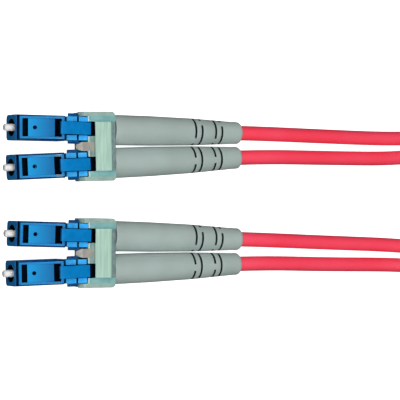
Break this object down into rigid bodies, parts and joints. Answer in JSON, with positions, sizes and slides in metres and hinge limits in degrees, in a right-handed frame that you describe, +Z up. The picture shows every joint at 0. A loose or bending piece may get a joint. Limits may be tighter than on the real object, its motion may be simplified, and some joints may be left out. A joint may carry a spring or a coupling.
{
  "type": "lc fibre connector",
  "caption": "Duplex fibre patch lead: square plugs with latches and ceramic ferrules, side by side in clips with tapered boots, on a tied jacketed cord.",
  "frame": {"origin": "centre of the connectors' box at the surface they lie on", "axes": "+X from the ferrule tips to the cords, +Y across the connectors, +Z up"},
  "size_m": [0.1362, 0.0346, 0.012],
  "materials": {
    "blue_plastic": "smooth moulded plastic, light gloss",
    "clip_plastic": "translucent moulded plastic, satin",
    "boot_rubber": "soft moulded elastomer, matte",
    "cord_jacket": "extruded cable jacket, satin",
    "ceramic": "polished zirconia ceramic",
    "nickel_brass": "nickel plated brass, fine turned",
    "spring_steel": "drawn stainless wire",
    "fibre_coat": "buffer coat, satin",
    "tie_fabric": "woven hook and loop strap"
  },
  "bodies": {
    "plugs": {"a_clip": "clip_plastic", "b_clip": "clip_plastic", "a1_housing": "blue_plastic", "a1_rear_cover": "blue_plastic", "a1_spring": "spring_steel", "a1_back_post": "nickel_brass", "a1_crimp_sleeve": "nickel_brass", "a1_boot": "boot_rubber", "a2_housing": "blue_plastic", "a2_rear_cover": "blue_plastic", "a2_spring": "spring_steel", "a2_back_post": "nickel_brass", "a2_crimp_sleeve": "nickel_brass", "a2_boot": "boot_rubber", "b1_housing": "blue_plastic", "b1_rear_cover": "blue_plastic", "b1_spring": "spring_steel", "b1_back_post": "nickel_brass", "b1_crimp_sleeve": "nickel_brass", "b1_boot": "boot_rubber", "b2_housing": "blue_plastic", "b2_rear_cover": "blue_plastic", "b2_spring": "spring_steel", "b2_back_post": "nickel_brass", "b2_crimp_sleeve": "nickel_brass", "b2_boot": "boot_rubber", "a1_cord": "cord_jacket", "a2_cord": "cord_jacket", "b1_cord": "cord_jacket", "b2_cord": "cord_jacket", "cord_coil": "cord_jacket", "coil_tie": "tie_fabric"},
    "a1_ferrule_set": {"a1_ferrule": "ceramic", "a1_ferrule_flange": "nickel_brass", "a1_fibre_buffer": "fibre_coat"},
    "a1_latch_arm": {"a1_latch": "blue_plastic"},
    "a1_trigger_arm": {"a1_trigger": "blue_plastic"},
    "a2_ferrule_set": {"a2_ferrule": "ceramic", "a2_ferrule_flange": "nickel_brass", "a2_fibre_buffer": "fibre_coat"},
    "a2_latch_arm": {"a2_latch": "blue_plastic"},
    "a2_trigger_arm": {"a2_trigger": "blue_plastic"},
    "b1_ferrule_set": {"b1_ferrule": "ceramic", "b1_ferrule_flange": "nickel_brass", "b1_fibre_buffer": "fibre_coat"},
    "b1_latch_arm": {"b1_latch": "blue_plastic"},
    "b1_trigger_arm": {"b1_trigger": "blue_plastic"},
    "b2_ferrule_set": {"b2_ferrule": "ceramic", "b2_ferrule_flange": "nickel_brass", "b2_fibre_buffer": "fibre_coat"},
    "b2_latch_arm": {"b2_latch": "blue_plastic"},
    "b2_trigger_arm": {"b2_trigger": "blue_plastic"}
  },
  "joints": [
    {"name": "a1_ferrule_float", "type": "slide", "parent": "plugs", "child": "a1_ferrule_set", "axis": [1, -0.0045, 0], "range_m": [0, 0.0004], "stiffness_N_per_m": 2500, "deforming": ["a1_spring"]},
    {"name": "a1_trigger_press", "type": "hinge", "parent": "plugs", "child": "a1_trigger_arm", "pos_m": [-0.00883, 0.01268, 0.00565], "axis": [-0.0045, -1, 0], "range_deg": [0, 9], "stiffness_Nm_per_rad": 0.05},
    {"name": "a1_latch_flex", "type": "hinge", "parent": "plugs", "child": "a1_latch_arm", "pos_m": [-0.02126, 0.01274, 0.00518], "axis": [0.0045, 1, 0], "range_deg": [0, 6.5]},
    {"name": "a2_ferrule_float", "type": "slide", "parent": "plugs", "child": "a2_ferrule_set", "axis": [0.9989, 0.0478, 0], "range_m": [0, 0.0004], "stiffness_N_per_m": 2500, "deforming": ["a2_spring"]},
    {"name": "a2_trigger_press", "type": "hinge", "parent": "plugs", "child": "a2_trigger_arm", "pos_m": [-0.0089, 0.00636, 0.00565], "axis": [0.0478, -0.9989, 0], "range_deg": [0, 9], "stiffness_Nm_per_rad": 0.05},
    {"name": "a2_latch_flex", "type": "hinge", "parent": "plugs", "child": "a2_latch_arm", "pos_m": [-0.02131, 0.00577, 0.00518], "axis": [-0.0478, 0.9989, 0], "range_deg": [0, 6.5]},
    {"name": "b1_ferrule_float", "type": "slide", "parent": "plugs", "child": "b1_ferrule_set", "axis": [0.9995, -0.0318, 0], "range_m": [0, 0.0004], "stiffness_N_per_m": 2500, "deforming": ["b1_spring"]},
    {"name": "b1_trigger_press", "type": "hinge", "parent": "plugs", "child": "b1_trigger_arm", "pos_m": [-0.00875, -0.00631, 0.00565], "axis": [-0.0318, -0.9995, 0], "range_deg": [0, 9], "stiffness_Nm_per_rad": 0.05},
    {"name": "b1_latch_flex", "type": "hinge", "parent": "plugs", "child": "b1_latch_arm", "pos_m": [-0.02117, -0.00591, 0.00518], "axis": [0.0318, 0.9995, 0], "range_deg": [0, 6.5]},
    {"name": "b2_ferrule_float", "type": "slide", "parent": "plugs", "child": "b2_ferrule_set", "axis": [0.9998, 0.0206, 0], "range_m": [0, 0.0004], "stiffness_N_per_m": 2500, "deforming": ["b2_spring"]},
    {"name": "b2_trigger_press", "type": "hinge", "parent": "plugs", "child": "b2_trigger_arm", "pos_m": [-0.00898, -0.01262, 0.00565], "axis": [0.0206, -0.9998, 0], "range_deg": [0, 9], "stiffness_Nm_per_rad": 0.05},
    {"name": "b2_latch_flex", "type": "hinge", "parent": "plugs", "child": "b2_latch_arm", "pos_m": [-0.02141, -0.01287, 0.00518], "axis": [-0.0206, 0.9998, 0], "range_deg": [0, 6.5]}
  ],
  "couplings": [
    {"joint": "a1_latch_flex", "follows": "a1_trigger_press", "ratio": 0.7},
    {"joint": "a2_latch_flex", "follows": "a2_trigger_press", "ratio": 0.7},
    {"joint": "b1_latch_flex", "follows": "b1_trigger_press", "ratio": 0.7},
    {"joint": "b2_latch_flex", "follows": "b2_trigger_press", "ratio": 0.7}
  ]
}
